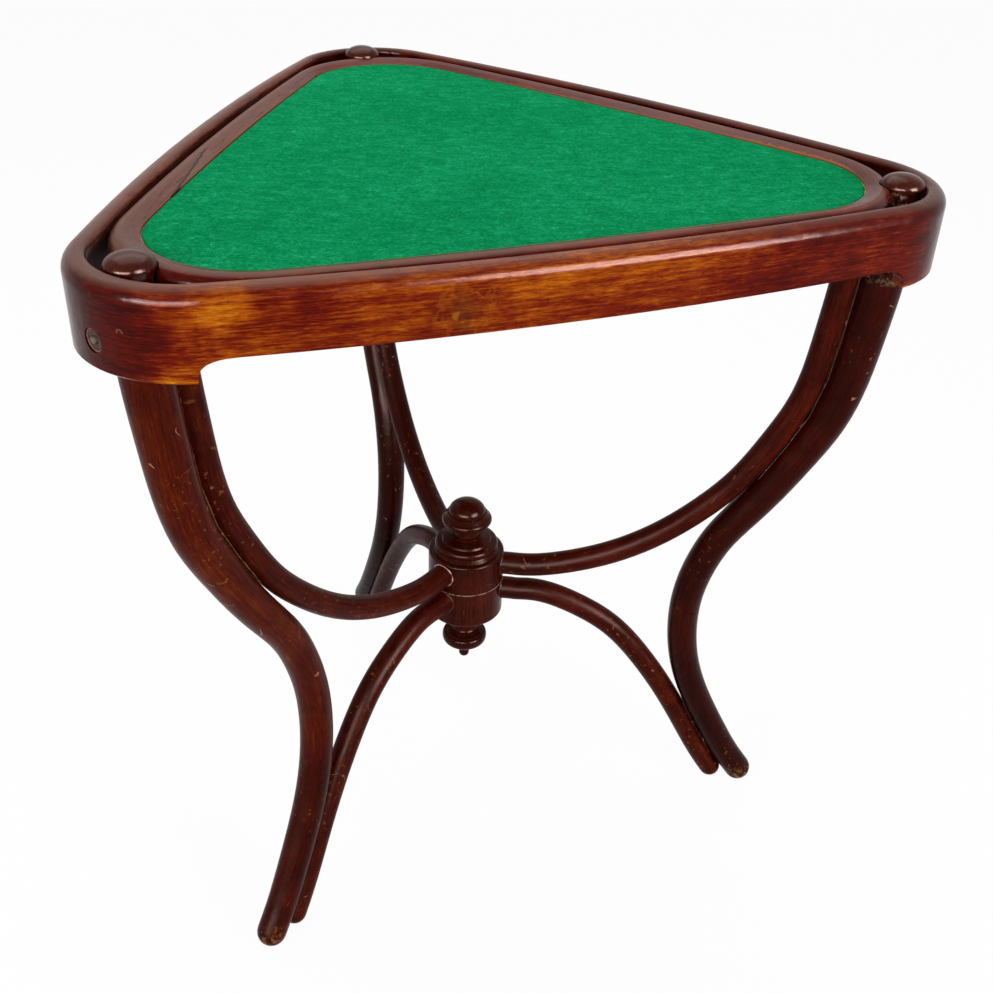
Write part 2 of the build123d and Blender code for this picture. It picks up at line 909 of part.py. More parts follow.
# Ledge screws: three through each ledge into the hoop
with BuildPart() as ledge_screws:
    for angle in side_angles.values():
        for along in screw_places:
            place = screw_plane(angle, along)
            with BuildSketch(place.offset(screw_sink)):
                Circle(screw_head_radius)
            extrude(amount=screw_head_depth)
            with BuildSketch(place.offset(screw_sink + screw_head_depth)):
                Circle(screw_radius)
            extrude(amount=screw_length - screw_sink - screw_head_depth)
ledge_screws.part.label = "ledge_screws"
export_step(ledge_screws.part, "parts/ledge_screws.step")


# Corner bolts: flanged heads with a raised button, sunk into the hoop's ears
with BuildPart() as corner_bolts:
    for corner in corner_angles.values():
        with BuildSketch(side_plane(corner, corner_reach - flange_sink)):
            with Locations((0, bolt_height)):
                Circle(flange_radius)
        extrude(amount=flange_thickness)
        with BuildSketch(side_plane(corner, corner_reach - flange_sink + flange_thickness)):
            with Locations((0, bolt_height)):
                Circle(button_radius)
        extrude(amount=button_height, taper=button_angle)
        tail_reach = nut_reach - washer_thickness - nut_thickness - bolt_tail
        with BuildSketch(side_plane(corner, tail_reach)):
            with Locations((0, bolt_height)):
                Circle(bolt_radius)
        extrude(amount=corner_reach - flange_sink - tail_reach)
corner_bolts.part.label = "corner_bolts"
export_step(corner_bolts.part, "parts/corner_bolts.step")


# Washers of the corner bolts, seated on spots cut in the arms
with BuildPart() as corner_washers:
    for corner in corner_angles.values():
        with BuildSketch(side_plane(corner, nut_reach)):
            with Locations((0, bolt_height)):
                Circle(washer_radius)
                Circle(bolt_radius + bolt_clearance, mode=Mode.SUBTRACT)
        extrude(amount=-washer_thickness)
corner_washers.part.label = "corner_washers"
export_step(corner_washers.part, "parts/corner_washers.step")


# Hexagon nuts of the corner bolts
with BuildPart() as corner_nuts:
    for corner in corner_angles.values():
        with BuildSketch(side_plane(corner, nut_reach - washer_thickness)):
            with Locations((0, bolt_height)):
                RegularPolygon(nut_radius, nut_sides)
                Circle(bolt_radius + bolt_clearance, mode=Mode.SUBTRACT)
        extrude(amount=-nut_thickness)
corner_nuts.part.label = "corner_nuts"
export_step(corner_nuts.part, "parts/corner_nuts.step")


# Upper dowels: two in each joint between leg and upper arm
with BuildPart() as upper_dowels:
    for corner in corner_angles.values():
        for share in upper_pin_shares:
            with BuildSketch(cross_plane(leg_plane(corner), share)):
                Circle(pin_radius)
            extrude(amount=pin_half_length, both=True)
upper_dowels.part.label = "upper_dowels"
export_step(upper_dowels.part, "parts/upper_dowels.step")


# Lower dowels: one in each joint between leg and lower arm
with BuildPart() as lower_dowels:
    for corner in corner_angles.values():
        with BuildSketch(cross_plane(leg_plane(corner), lower_pin_share)):
            Circle(pin_radius)
        extrude(amount=pin_half_length, both=True)
lower_dowels.part.label = "lower_dowels"
export_step(lower_dowels.part, "parts/lower_dowels.step")
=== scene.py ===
from math import asin, atan2, cos, pi, radians, sin, sqrt, tan
import bpy
from mathutils import Matrix, Vector, noise


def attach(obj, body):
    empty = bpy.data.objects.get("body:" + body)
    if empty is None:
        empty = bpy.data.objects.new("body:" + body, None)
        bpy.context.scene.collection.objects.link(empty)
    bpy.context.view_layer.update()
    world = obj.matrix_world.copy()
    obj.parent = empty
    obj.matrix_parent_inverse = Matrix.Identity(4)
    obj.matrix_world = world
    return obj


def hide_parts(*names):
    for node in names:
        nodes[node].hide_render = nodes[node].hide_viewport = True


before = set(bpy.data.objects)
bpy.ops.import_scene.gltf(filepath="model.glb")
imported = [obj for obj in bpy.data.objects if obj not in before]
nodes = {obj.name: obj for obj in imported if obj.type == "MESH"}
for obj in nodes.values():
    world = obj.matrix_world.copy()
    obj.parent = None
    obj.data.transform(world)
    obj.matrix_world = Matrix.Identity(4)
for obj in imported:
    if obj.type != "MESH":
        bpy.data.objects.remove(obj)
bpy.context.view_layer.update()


# Legs: three steam-bent beech rods, S-curved from the hoop to the floor, tapered
# to the foot, stained dark and varnished by hand. The grain follows each bend.
# Bends are scuffed, toes worn, and old filler crumbles under the right ear.
corners = {"back": 90, "front_left": 210, "right": 330}
hub_axis = Vector((0, -0.072, 0))
leg_height = 0.712
leg_reach = 0.374
leg_pivot = 0.265
leg_swing = radians(2.83)
leg_lean = asin(leg_reach * tan(leg_swing) / (leg_height - leg_pivot))
leg_reach_shares = (
    1.001, 0.998, 0.992, 0.981, 0.966, 0.935, 0.886, 0.829, 0.771, 0.713,
    0.675, 0.653, 0.646, 0.655, 0.680, 0.722, 0.777, 0.829, 0.886,
)
leg_height_shares = (
    1.020, 0.948, 0.892, 0.829, 0.765, 0.702, 0.646, 0.590, 0.541, 0.492,
    0.442, 0.393, 0.337, 0.281, 0.225, 0.169, 0.112, 0.063, 0.019,
)
leg_stain = (
    (0.00, (0.010, 0.0007, 0.0001)),
    (0.32, (0.030, 0.0016, 0.0002)),
    (0.55, (0.068, 0.0052, 0.0004)),
    (0.76, (0.130, 0.0200, 0.0010)),
    (1.00, (0.270, 0.0750, 0.0060)),
)
leg_lifts = {"front_left": -0.02, "right": -0.22, "back": -0.34}
leg_varnish = {"IOR": 1.13, "Specular_Tint": (1.0, 0.70, 0.62, 1.0)}
darker_foot = (0.100, 0.260)
foot_darkening = 0.16
toe_wear_height = (0.030, 0.004)
filler_height = (0.6510, 0.6560)
worn_edge = (0.33, 0.13, 0.055)
golden_fleck = (0.30, 0.110, 0.014)
scratch_pale = (0.34, 0.17, 0.11)
filler_grey = (0.140, 0.095, 0.055)
streak_cells = (32, 480, 4, 0.62)


class Finish:
    """One material being made, with short names for its node work."""

    def __init__(self, name):
        self.material = bpy.data.materials.new(name)
        self.material.use_nodes = True
        self.tree = self.material.node_tree
        self.surface = self.tree.nodes["Principled BSDF"]
        self.place = self.node("ShaderNodeTexCoord").outputs["Object"]

    def node(self, kind, inputs=None, **settings):
        made = self.tree.nodes.new(kind)
        for key, value in settings.items():
            setattr(made, key, value)
        for key, value in (inputs or {}).items():
            if isinstance(value, bpy.types.NodeSocket):
                self.tree.links.new(value, made.inputs[key])
            else:
                made.inputs[key].default_value = value
        return made

    def math(self, operation, *values, clamp=False):
        """One sum of numbers and sockets."""
        made = self.node("ShaderNodeMath", dict(enumerate(values)), operation=operation)
        made.use_clamp = clamp
        return made.outputs[0]

    def product(self, *values):
        total = values[0]
        for value in values[1:]:
            total = self.math("MULTIPLY", total, value)
        return total

    def length(self, *values):
        total = self.product(values[0], values[0])
        for value in values[1:]:
            total = self.math("MULTIPLY_ADD", value, value, total)
        return self.math("SQRT", total)

    def span(self, value, low, high, start=0.0, end=1.0):
        """Runs smoothly from start to end as the value goes from low to high."""
        inputs = {0: value, 1: low, 2: high, 3: start, 4: end}
        return self.node("ShaderNodeMapRange", inputs, interpolation_type="SMOOTHSTEP").outputs[0]

    def triple(self, x, y, z):
        return self.node("ShaderNodeCombineXYZ", {0: x, 1: y, 2: z}).outputs[0]

    def parts(self, vector):
        return self.node("ShaderNodeSeparateXYZ", {0: vector}).outputs

    def noise(self, vector, scale, detail=2.0, roughness=0.5, w=None):
        inputs = {"Vector": vector, "Scale": scale, "Detail": detail, "Roughness": roughness}
        if w is None:
            return self.node("ShaderNodeTexNoise", inputs).outputs[0]
        inputs["W"] = w
        return self.node("ShaderNodeTexNoise", inputs, noise_dimensions="4D").outputs[0]

    def ramp(self, value, stops):
        """Colour read off a row of (place, colour) stops."""
        made = self.node("ShaderNodeValToRGB", {0: value})
        points = made.color_ramp.elements
        while len(points) < len(stops):
            points.new(0.5)
        for point, (position, colour) in zip(points, stops):
            point.position = position
            point.color = (*colour, 1.0)
        return made.outputs[0]

    def layer(self, share, under, over):
        """A plain colour laid over what is there, by a share."""
        inputs = {0: share, 6: under, 7: (*over, 1.0)}
        return self.node("ShaderNodeMix", inputs, data_type="RGBA").outputs[2]

    def relief(self, height, distance, strength, under=None):
        """Small bumps as deep as the distance, over another relief if one is given."""
        inputs = {"Height": height, "Distance": distance, "Strength": strength}
        if under is not None:
            inputs["Normal"] = under
        return self.node("ShaderNodeBump", inputs).outputs[0]

    def finish(self, colour, roughness, normal, **fixed):
        """Puts the finished looks on the surface and hands over the material."""
        for key, value in (("Base Color", colour), ("Roughness", roughness), ("Normal", normal)):
            self.tree.links.new(value, self.surface.inputs[key])
        for key, value in fixed.items():
            self.surface.inputs[key.replace("_", " ")].default_value = value
        return self.material


def grain_noise(work, grain, along, across, detail, roughness=0.55):
    """Noise drawn out along the grain, with cells per metre along and across it."""
    first = work.math("MULTIPLY", grain[0], along)
    second = work.math("MULTIPLY", grain[1], along)
    third = work.math("MULTIPLY", grain[2], across)
    fourth = work.math("MULTIPLY", grain[3], across)
    return work.noise(work.triple(first, second, third), 1.0, detail, roughness, w=fourth)


def stained_beech(work, grain, stops, lift, contrast, gloss_rough, wear, scratches):
    """Stained, varnished beech: clouded stain, grain streaks, ray flecks, scuffs and fine scratches."""
    broad = grain_noise(work, grain, 9, 24, 2)
    streak = grain_noise(work, grain, *streak_cells)
    fine = grain_noise(work, grain, 140, 1500, 2)
    rays = grain_noise(work, grain, 330, 1500, 1)
    mottle = work.noise(work.place, 42.0, 4.0, 0.6)
    swing = work.math("MULTIPLY_ADD", broad, 0.9, -0.45)
    for figure, weight in ((streak, 1.35), (fine, 0.8), (mottle, 0.6)):
        swing = work.math("MULTIPLY_ADD", work.math("SUBTRACT", figure, 0.5), weight, swing)
    tone = work.math("MULTIPLY_ADD", swing, contrast, work.math("ADD", lift, 0.5))
    tone = work.math("MULTIPLY_ADD", work.span(rays, 0.62, 0.70), -0.14, tone, clamp=True)
    colour = work.ramp(tone, stops)
    patch = work.noise(work.place, 10.0, 2.0)
    scuff = work.noise(work.place, 120.0, 5.0, 0.68)
    scuffed = work.product(work.span(scuff, 0.64, 0.72), work.span(patch, 0.47, 0.60), wear)
    colour = work.layer(scuffed, colour, worn_edge)
    fleck = work.noise(work.place, 190.0, 1.0)
    fleck = work.product(work.span(fleck, 0.66, 0.74), work.span(patch, 0.46, 0.60))
    colour = work.layer(work.product(fleck, wear, 0.45), colour, golden_fleck)
    line = work.noise(work.place, 27.0, 1.0, 0.4)
    line = work.math("ABSOLUTE", work.math("SUBTRACT", line, 0.5))
    short = work.noise(work.place, 52.0, 1.0)
    scratch = work.product(work.span(line, 0.0045, 0.0015), work.span(short, 0.66, 0.70), scratches)
    colour = work.layer(scratch, colour, scratch_pale)
    rough = work.math("MULTIPLY_ADD", mottle, 0.20, gloss_rough - 0.10)
    rough = work.math("MULTIPLY_ADD", scuffed, 0.25, rough)
    wavy = work.noise(work.place, 60.0, 2.0)
    normal = work.relief(wavy, 0.0010, 0.45)
    normal = work.relief(streak, 0.00020, 0.6, normal)
    dents = work.math("MULTIPLY_ADD", scratch, -1.0, work.math("MULTIPLY", scuffed, -0.6))
    normal = work.relief(dents, 0.00030, 0.8, normal)
    return colour, rough, normal


def leg_frame(corner):
    """Turn of a leg's own plane: out from the hub, sideways and up along its lean."""
    turn = radians(corner) + leg_swing
    out = Vector((cos(turn), sin(turn), 0))
    side = Vector((sin(turn), -cos(turn), 0))
    up = Vector((0, 0, 1)) * cos(leg_lean) + side * sin(leg_lean)
    return Matrix((out, up.cross(out), up)).transposed()


def rod_place(work, corner):
    """Place in a leg's own plane: reach from the hub axis, sideways, height over the pivot."""
    inputs = {"Vector": work.place, "Location": hub_axis + Vector((0, 0, leg_pivot))}
    inputs["Rotation"] = leg_frame(corner).to_euler()
    return work.parts(work.node("ShaderNodeMapping", inputs, vector_type="TEXTURE").outputs[0])


def bend_curve(work, share, points, top):
    """Centre of a bend, read off at a share of its run."""
    made = work.node("ShaderNodeFloatCurve", {"Value": share})
    curve = made.mapping.curves[0]
    made.mapping.clip_max_y = top
    made.mapping.use_clip = False
    for index, (x, y) in enumerate(sorted(points)):
        if index < 2:
            curve.points[index].location = (x, y)
        else:
            curve.points.new(x, y)
    made.mapping.update()
    return made.outputs[0]


for name, corner in corners.items():
    work = Finish("leg_beech_" + name)
    reach, sideways, rise = rod_place(work, corner)
    height = work.math("ADD", rise, leg_pivot)
    share = work.math("DIVIDE", height, leg_height)
    centre = bend_curve(work, share, zip(leg_height_shares, leg_reach_shares), top=1.1)
    offset = work.math("MULTIPLY_ADD", centre, -leg_reach, reach)
    lift = work.span(height, *darker_foot, leg_lifts[name] - foot_darkening, leg_lifts[name])
    grain = (height, 0.0, sideways, offset)
    colour, rough, normal = stained_beech(
        work, grain, leg_stain, lift, contrast=0.62, gloss_rough=0.30, wear=0.7, scratches=0.8
    )
    toe = work.noise(work.place, 160.0, 4.0, 0.7)
    toe = work.product(work.span(toe, 0.48, 0.62), work.span(height, *toe_wear_height))
    colour = work.layer(toe, colour, worn_edge)
    if name == "right":
        crust = work.noise(work.place, 260.0, 4.0, 0.7)
        crust = work.product(work.span(crust, 0.47, 0.60), work.span(height, *filler_height), 0.75)
        colour = work.layer(crust, colour, filler_grey)
    nodes["leg_" + name].data.materials[0] = work.finish(colour, rough, normal, **leg_varnish)


# Arms: three upper and three lower steam-bent rods of even thickness. They are
# glued and dowelled to the legs and run in to sockets in the hub. Same stain
# as the legs, with paler scuffs and scratches all along them.
upper_centre = (0.050, 0.712)
upper_bend = (
    (0.0, 0.2920), (0.033, 0.2916), (0.159, 0.2978), (0.278, 0.3127), (0.386, 0.3330), (0.491, 0.3499),
    (0.590, 0.3688), (0.685, 0.3849), (0.777, 0.4003), (0.867, 0.4122), (0.956, 0.4208), (1.0, 0.4215),
)
lower_centre = (0.050, 0.0)
lower_bend = (
    (0.0, 0.2560), (0.029, 0.2489), (0.071, 0.2399), (0.117, 0.2328), (0.218, 0.2241), (0.324, 0.2215),
    (0.430, 0.2235), (0.532, 0.2296), (0.630, 0.2386), (0.724, 0.2472), (0.817, 0.2533), (0.909, 0.2583),
    (1.0, 0.2565),
)
mean_bend_radius = 0.35
arm_lifts = {"front_left": -0.08, "right": -0.08, "back": -0.30}
arm_varnish = {"IOR": 1.12, "Specular_Tint": (1.0, 0.70, 0.62, 1.0)}


def arm_finish(kind, name, centre, bend, turn_sign):
    """Beech whose grain follows an arm's bend about a centre in the leg's plane."""
    work = Finish(kind + "_beech_" + name)
    reach, sideways, rise = rod_place(work, corners[name])
    out = work.math("SUBTRACT", reach, centre[0])
    height = work.math("ADD", rise, leg_pivot - centre[1])
    turn = work.math("ARCTAN2", work.math("MULTIPLY", height, turn_sign), out)
    middle = bend_curve(work, work.math("DIVIDE", turn, pi / 2), bend, top=0.5)
    offset = work.math("SUBTRACT", work.length(out, height), middle)
    grain = (work.math("MULTIPLY", turn, mean_bend_radius), 0.0, sideways, offset)
    looks = stained_beech(
        work, grain, leg_stain, arm_lifts[name], contrast=0.66, gloss_rough=0.36, wear=0.9, scratches=0.9
    )
    nodes[kind + "_" + name].data.materials[0] = work.finish(*looks, **arm_varnish)


for name in corners:
    arm_finish("upper_arm", name, upper_centre, upper_bend, -1.0)
    arm_finish("lower_arm", name, lower_centre, lower_bend, 1.0)


# Glue: old hide glue and varnish squeezed out where arms meet legs and where
# they enter the hub. It sits in lumpy golden-brown beads along both seams and
# in a thin ring round each socket. The ring round the front left upper arm is
# thicker and pale pink, a painted highlight.
seam_points = range(1, 8)
leg_head_radius = 0.020
leg_taper = 0.42
taper_start = 2
seam_side = 0.0056
bead_radius = 0.0016
bead_step = 0.0012
seam_lumps = 1.5
foot_seam_points = range(15, 18)
foot_radius = 0.0160
foot_bead_share = 0.8
foot_lumps = 1.6
hub_radius = 0.0408
socket_heights = {"upper": 0.2905, "lower": 0.2565}
ring_radius = 0.0128
ring_steps = 48
ring_lumps = 1.2
brown_ring_thickness = 0.0009
highlit_ring_thickness = 0.0013
lump_scale = 190.0
thinnest_share = 0.3


def glue_finish(name, dark, pale):
    """Hardened glue: cloudy, glossy and a little lumpy."""
    work = Finish(name)
    cloud = work.noise(work.place, 210.0, 4.0, 0.6)
    colour = work.ramp(cloud, ((0.36, dark), (0.62, pale)))
    rough = work.math("MULTIPLY_ADD", cloud, 0.3, 0.22)
    return work.finish(colour, rough, work.relief(cloud, 0.0004, 0.6), IOR=1.35)


def grow(name, source, values, wire, material):
    """Runs a geometry node tree on an object and keeps what it makes as a plain mesh piece."""
    tree = bpy.data.node_groups.new(name + "_nodes", "GeometryNodeTree")
    tree.interface.new_socket("Geometry", in_out="INPUT", socket_type="NodeSocketGeometry")
    tree.interface.new_socket("Geometry", in_out="OUTPUT", socket_type="NodeSocketGeometry")
    for label, value in values.items():
        kind = "NodeSocketInt" if isinstance(value, int) else "NodeSocketFloat"
        tree.interface.new_socket(label, in_out="INPUT", socket_type=kind)

    def add(kind, inputs=None, **settings):
        made = tree.nodes.new(kind)
        for key, value in settings.items():
            setattr(made, key, value)
        for key, value in (inputs or {}).items():
            if isinstance(value, bpy.types.NodeSocket):
                tree.links.new(value, made.inputs[key])
            else:
                made.inputs[key].default_value = value
        return made.outputs

    made = wire(add, add("NodeGroupInput"))
    made = add("GeometryNodeRealizeInstances", {0: made})[0]
    made = add("GeometryNodeSetShadeSmooth", {0: made})[0]
    made = add("GeometryNodeSetMaterial", {"Geometry": made, "Material": material})[0]
    add("NodeGroupOutput", {0: made})
    growth = source.modifiers.new("growth", "NODES")
    growth.node_group = tree
    for item in tree.interface.items_tree:
        if item.in_out == "INPUT" and item.name in values:
            growth[item.identifier] = values[item.name]
    evaluated = source.evaluated_get(bpy.context.evaluated_depsgraph_get())
    mesh = bpy.data.meshes.new_from_object(evaluated)
    source.modifiers.remove(growth)
    mesh.name = name
    piece = bpy.data.objects.new(name, mesh)
    bpy.context.scene.collection.objects.link(piece)
    return piece


def line_object(name, points, closed=False):
    """A bare line of points for a node tree to follow."""
    mesh = bpy.data.meshes.new(name)
    edges = [(index, index + 1) for index in range(len(points) - 1)]
    if closed:
        edges.append((len(points) - 1, 0))
    mesh.from_pydata(points, edges, [])
    line = bpy.data.objects.new(name, mesh)
    bpy.context.scene.collection.objects.link(line)
    return line


def bead_tree(add, given):
    """A lumpy bead that follows a line."""
    line = add("GeometryNodeMeshToCurve", {"Mesh": given["Geometry"]})[0]
    line = add("GeometryNodeResampleCurve", {"Curve": line, "Length": given["Step"]}, mode="LENGTH")[0]
    place = add("GeometryNodeInputPosition")[0]
    lumps = add("ShaderNodeTexNoise", {"Vector": place, "Scale": lump_scale, "Detail": 3.0})[0]
    lumps = add("ShaderNodeMath", {0: lumps, 1: given["Lumps"], 2: 1.0}, operation="MULTIPLY_ADD")[0]
    lumps = add("ShaderNodeMath", {0: lumps, 1: given["Lumps"]}, operation="SUBTRACT")[0]
    lumps = add("ShaderNodeMath", {0: lumps, 1: thinnest_share}, operation="MAXIMUM")[0]
    circle = add("GeometryNodeCurvePrimitiveCircle", {"Resolution": 8, "Radius": given["Radius"]})[0]
    return add(
        "GeometryNodeCurveToMesh",
        {"Curve": line, "Profile Curve": circle, "Scale": lumps, "Fill Caps": True},
    )[0]


def bead(name, points, radius, lumps, material, closed=False):
    """One bead of glue along a row of points, fixed to the table's frame."""
    line = line_object(name + "_line", points, closed)
    values = {"Radius": radius, "Lumps": lumps, "Step": bead_step}
    piece = grow(name, line, values, bead_tree, material)
    bpy.data.objects.remove(line)
    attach(piece, "frame")


def seam_line(corner, indexes, radius_at, side):
    """Points along the crease between a leg and the arm inside it."""
    turn = leg_frame(corner)
    points = []
    for index in indexes:
        before, at, after = (
            Vector((leg_reach_shares[i] * leg_reach, leg_height_shares[i] * leg_height - leg_pivot))
            for i in (index - 1, index, index + 1)
        )
        tangent = (after - before).normalized()
        touch = at + Vector((tangent.y, -tangent.x)) * radius_at(index)
        points.append(hub_axis + Vector((0, 0, leg_pivot)) + turn @ Vector((touch.x, side, touch.y)))
    return points


def head_radius_at(index):
    """Radius of the upper half of a leg at one of its points."""
    return leg_head_radius * (1 - leg_taper * max(0, index - taper_start) / (len(leg_reach_shares) - 1))


golden_glue = glue_finish("golden_glue", (0.030, 0.012, 0.002), (0.200, 0.110, 0.020))
brown_glue = glue_finish("brown_glue", (0.020, 0.006, 0.002), (0.110, 0.045, 0.018))
# Pale pink glue: its colour is a painted highlight, used on one socket ring only.
highlit_glue = glue_finish("highlit_glue", (0.420, 0.220, 0.180), (0.760, 0.540, 0.480))
for name, corner in corners.items():
    for label, side in (("left", -seam_side), ("right", seam_side)):
        glue = golden_glue if name == "front_left" else brown_glue
        line = seam_line(corner, seam_points, head_radius_at, side)
        bead(f"seam_glue_{name}_{label}", line, bead_radius, seam_lumps, glue)
        line = seam_line(corner, foot_seam_points, lambda index: foot_radius, side)
        bead(f"foot_glue_{name}_{label}", line, bead_radius * foot_bead_share, foot_lumps, brown_glue)
    for label, height in socket_heights.items():
        ring = []
        turn = leg_frame(corner)
        for step in range(ring_steps):
            angle = 2 * pi * step / ring_steps
            side = ring_radius * cos(angle)
            rise = ring_radius * sin(angle) + height - leg_pivot
            local = Vector((sqrt(hub_radius**2 - side**2), side, rise))
            ring.append(hub_axis + Vector((0, 0, leg_pivot)) + turn @ local)
        # The front left upper ring gets the pale glue, a painted highlight.
        bright = (name, label) == ("front_left", "upper")
        glue = highlit_glue if bright else brown_glue
        thickness = highlit_ring_thickness if bright else brown_ring_thickness
        bead(f"socket_glue_{name}_{label}", ring, thickness, ring_lumps, glue, closed=True)


# Hub: a beech drum turned in two halves and strung with its finial and pendant
# on a wooden spindle. The grain stands upright, the stain is polished bright,
# and a pale crumbling line of glue shows at the split.
hub_stain = (
    (0.00, (0.010, 0.0008, 0.0003)),
    (0.35, (0.028, 0.0024, 0.0008)),
    (0.60, (0.062, 0.0075, 0.0022)),
    (0.80, (0.120, 0.0240, 0.0060)),
    (1.00, (0.230, 0.0700, 0.0180)),
)
hub_varnish = {"IOR": 1.14, "Specular_Tint": (1.0, 0.72, 0.64, 1.0)}
hub_split = 0.270
split_width = (0.0009, 0.0002)
split_pale = (0.34, 0.22, 0.16)


def turned_grain(work, centre):
    """Upright grain of a turned piece standing on a centre."""
    x, y, z = work.parts(work.place)
    return (z, 0.0, work.math("SUBTRACT", x, centre[0]), work.math("SUBTRACT", y, centre[1]))


for name in ("hub_upper", "hub_lower", "finial", "pendant", "hub_spindle"):
    work = Finish(name + "_beech")
    grain = turned_grain(work, hub_axis)
    colour, rough, normal = stained_beech(
        work, grain, hub_stain, -0.08, contrast=0.6, gloss_rough=0.20, wear=0.35, scratches=0.3
    )
    from_split = work.math("ABSOLUTE", work.math("SUBTRACT", grain[0], hub_split))
    crumb = work.noise(work.place, 240.0, 3.0, 0.7)
    seam = work.product(work.span(from_split, *split_width), work.span(crumb, 0.36, 0.52))
    colour = work.layer(seam, colour, split_pale)
    nodes[name].data.materials[0] = work.finish(colour, rough, normal, **hub_varnish)


# Outer hoop: one beech board steam-bent round the three corners, deeper at the
# ears over the legs. Its polish has worn to a streaky amber between dark ears,
# with chips, a water stain on the front, and dust with painted sheen on the top edge.
hoop_corner = (0.410, 0.091, 0.266)
hoop_stain = (
    (0.00, (0.034, 0.0008, 0.0001)),
    (0.26, (0.088, 0.0025, 0.0002)),
    (0.44, (0.148, 0.0105, 0.0004)),
    (0.60, (0.240, 0.0380, 0.0006)),
    (0.78, (0.370, 0.0880, 0.0012)),
    (1.00, (0.520, 0.2000, 0.0120)),
)
hoop_varnish = {"IOR": 1.17, "Specular_Tint": (1.0, 0.72, 0.66, 1.0)}
ear_end = (0.08, 0.21)
ear_lift = -0.42
side_lift = 0.02
front_line = -0.20
shoulder_height = (0.704, 0.722)
shoulder_reach = (-0.20, -0.26)
shoulder_lift = 0.48
lower_edge_highlight_height = (0.679, 0.674)
lower_edge_highlight_lift = 0.20
right_end = (-0.02, 0.30)
right_darkening = 0.33
left_end = (-0.14, -0.26)
left_darkening = 0.03
back_darkening = 0.16
water_stain_place = (-0.104, 0.707)
water_stain_size = (0.015, 0.018)
water_stain_dark = (0.045, 0.0050, 0.0006)
water_stain_edge = (0.300, 0.0850, 0.0060)
amber_spot_place = (-0.1115, 0.7045)
amber_spot_size = (0.0045, 0.0018)
amber_spot_colour = (0.330, 0.1050, 0.0030)
ear_nick_place = (-0.3381, -0.2983 - hub_axis.y, 0.7070)
ear_nick_radius = 0.0022
ear_nick_line = (0.0011, 0.0004)
ear_nick_foot = -0.0005
painted_nick_glint = (0.30, 0.16, 0.10)
chip_depth = (0.0115, 0.0085)
chip_height = (0.7365, 0.7385)
chip_dark = (0.05, 0.010, 0.004)
dust_and_sheen_height = (0.7350, 0.7396)
dust_and_sheen_reach = (0.10, -0.30)
dust_and_sheen_shares = (0.42, 0.72)
back_dust_and_sheen_height = (0.7270, 0.7330)
back_dust_and_sheen_reach = (-0.02, -0.14)
back_dust_and_sheen_y = (-0.21, -0.13)
dust_and_sheen_brown = (0.155, 0.074, 0.050)
gap_shade_depth = (0.0120, 0.0165)
gap_shade_height = (0.7340, 0.7280)
painted_gap_shade = (0.012, 0.0015, 0.0004)


def hoop_place(work, corner_reach, corner_radius, side_reach):
    """Folds the plan on its corners, about the hub axis.

    Gives the place, with y from the hub axis, the turn from the nearest corner,
    the way sideways from it, and the depth behind the face.
    """
    x, y, z = work.parts(work.place)
    y = work.math("SUBTRACT", y, hub_axis.y)
    turn = work.math("ARCTAN2", y, x)
    turn = work.math("ADD", turn, 2 * pi - pi / 2 + pi / 3)
    turn = work.math("SUBTRACT", work.math("MODULO", turn, 2 * pi / 3), pi / 3)
    length = work.length(x, y)
    folded_x = work.math("MULTIPLY", length, work.math("COSINE", turn))
    folded_y = work.math("ABSOLUTE", work.math("MULTIPLY", length, work.math("SINE", turn)))
    out = corner_reach - corner_radius
    inset = side_reach - corner_radius
    beyond = (out**2 - inset**2) / (2 * inset - out)
    side_x = -beyond * cos(pi / 3)
    side_y = -beyond * sin(pi / 3)
    past_x = work.math("SUBTRACT", folded_x, out)
    from_corner = work.length(past_x, folded_y)
    away = work.math("SUBTRACT", folded_y, side_y)
    from_side = work.length(work.math("SUBTRACT", folded_x, side_x), away)
    line = Vector((out - side_x, -side_y, 0)).normalized()
    past_line = work.math("MULTIPLY", folded_y, line.x)
    past_line = work.math("SUBTRACT", past_line, work.math("MULTIPLY", past_x, line.y))
    on_side = work.math("GREATER_THAN", past_line, 0.0)
    round_corner = work.math("SUBTRACT", corner_radius, from_corner)
    bowed_side = work.math("SUBTRACT", side_reach + beyond, from_side)
    inputs = {0: on_side, 2: round_corner, 3: bowed_side}
    depth = work.node("ShaderNodeMix", inputs, data_type="FLOAT").outputs[0]
    return x, y, z, work.math("ABSOLUTE", turn), folded_y, depth


def paint_dust_and_sheen(work, grain, cloud, top_edge, back_left):
    """Dust bloom with painted sheen: cloudy along the top edge and streaked with the grain at the back
    left.
    """
    edge = work.product(top_edge, work.span(cloud, 0.15, 0.62, 0.5, 1.0))
    streak = work.span(grain_noise(work, grain, *streak_cells), 0.36, 0.64, 0.35, 1.0)
    side = work.product(back_left, streak, work.span(cloud, 0.10, 0.60, 0.65, 1.0))
    return work.math("MAXIMUM", edge, side)


work = Finish("hoop_beech")
x, y, z, turn, sideways, depth = hoop_place(work, *hoop_corner)
cloud = work.noise(work.place, 14.0, 3.0, 0.6)
turn = work.math("MULTIPLY_ADD", work.math("SUBTRACT", cloud, 0.5), 0.34, turn)
lift = work.span(turn, *ear_end, ear_lift, side_lift)
front = work.math("LESS_THAN", y, front_line)
shoulder = work.product(work.span(turn, 0.02, 0.10), work.span(turn, 0.30, 0.14))
shoulder = work.product(shoulder, work.span(z, *shoulder_height), work.span(x, *shoulder_reach), front)
shoulder = work.product(shoulder, shoulder_lift)
